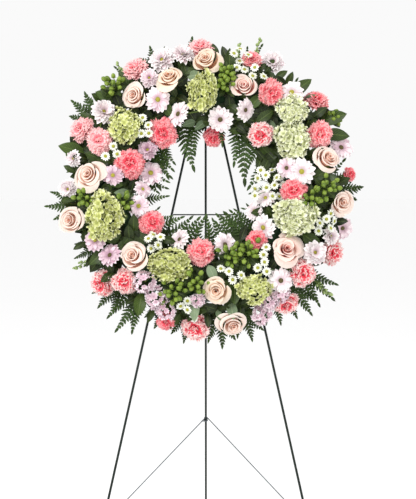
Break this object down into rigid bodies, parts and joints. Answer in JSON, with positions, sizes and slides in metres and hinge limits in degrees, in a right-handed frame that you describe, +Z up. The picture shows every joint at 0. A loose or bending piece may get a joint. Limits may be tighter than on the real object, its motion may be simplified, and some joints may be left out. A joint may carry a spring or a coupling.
{
  "type": "funeral wreath on a folding wire easel",
  "caption": "Round wreath of fresh roses, carnations, hydrangeas and daisies on a foam ring, standing on a three-legged folding wire easel.",
  "frame": {"origin": "on the floor, under the middle of the bounding box, on the easel's plane of symmetry", "axes": "+Z up, the wreath faces -Y, +X to the right of someone looking at the flowers"},
  "size_m": [0.7989, 0.7528, 1.5886],
  "materials": {
    "green_wire": "satin dark green enamel on steel wire",
    "galvanised_wire": "dull galvanised wire",
    "tray_plastic": "matte dark green moulded plastic",
    "wet_foam": "matte soaked floral foam",
    "rose_petal": "soft satin blush petal",
    "carnation_petal": "matte coral petal with paler edges",
    "hydrangea_petal": "matte lime to cream petal",
    "mum_petal": "matte pale lavender petal",
    "berry_skin": "satin green berry",
    "leaf": "satin dark green leaf"
  },
  "bodies": {
    "front_frame": {"left_front_leg": "green_wire", "right_front_leg": "green_wire", "crown_bend": "green_wire", "hinge_bar": "green_wire", "crossbar": "green_wire", "left_prong": "green_wire", "right_prong": "green_wire", "left_lug": "green_wire", "right_lug": "green_wire", "rose_1": "rose_petal", "rose_2": "rose_petal", "rose_3": "rose_petal", "rose_4": "rose_petal", "rose_5": "rose_petal", "rose_6": "rose_petal", "rose_7": "rose_petal", "rose_8": "rose_petal", "rose_9": "rose_petal", "rose_10": "rose_petal", "rose_11": "rose_petal", "rose_12": "rose_petal", "hydrangea_1": "hydrangea_petal", "hydrangea_2": "hydrangea_petal", "hydrangea_3": "hydrangea_petal", "hydrangea_4": "hydrangea_petal", "hydrangea_5": "hydrangea_petal", "hydrangea_6": "hydrangea_petal", "hydrangea_7": "hydrangea_petal", "hydrangea_8": "hydrangea_petal", "carnation_1": "carnation_petal", "carnation_2": "carnation_petal", "carnation_3": "carnation_petal", "carnation_4": "carnation_petal", "carnation_5": "carnation_petal", "carnation_6": "carnation_petal", "carnation_7": "carnation_petal", "carnation_8": "carnation_petal", "carnation_9": "carnation_petal", "carnation_10": "carnation_petal", "carnation_11": "carnation_petal", "carnation_12": "carnation_petal", "carnation_13": "carnation_petal", "carnation_14": "carnation_petal", "mum_spray_1": "mum_petal", "mum_spray_2": "mum_petal", "mum_spray_3": "mum_petal", "mum_spray_4": "mum_petal", "mum_spray_5": "mum_petal", "mum_spray_6": "mum_petal", "greenery_1": "leaf", "greenery_2": "leaf", "greenery_3": "leaf", "greenery_4": "leaf", "hypericum": "berry_skin", "foam_tray": "tray_plastic", "foam_ring": "wet_foam"},
    "rear_leg_body": {"rear_leg": "green_wire", "leg_ring": "galvanised_wire"},
    "spreader_body": {"left_spreader": "galvanised_wire", "right_spreader": "galvanised_wire"}
  },
  "joints": [
    {"name": "rear_leg_fold", "type": "hinge", "parent": "front_frame", "child": "rear_leg_body", "pos_m": [0, -0.05239, 1.46941], "axis": [-1, 0, 0], "range_deg": [0, 27]},
    {"name": "spreader_fold", "type": "hinge", "parent": "front_frame", "child": "spreader_body", "pos_m": [0, -0.29236, 0.33553], "axis": [1, 0, 0], "range_deg": [0, 58]}
  ],
  "couplings": [
    {"joint": "spreader_fold", "follows": "rear_leg_fold", "ratio": 2.148}
  ]
}
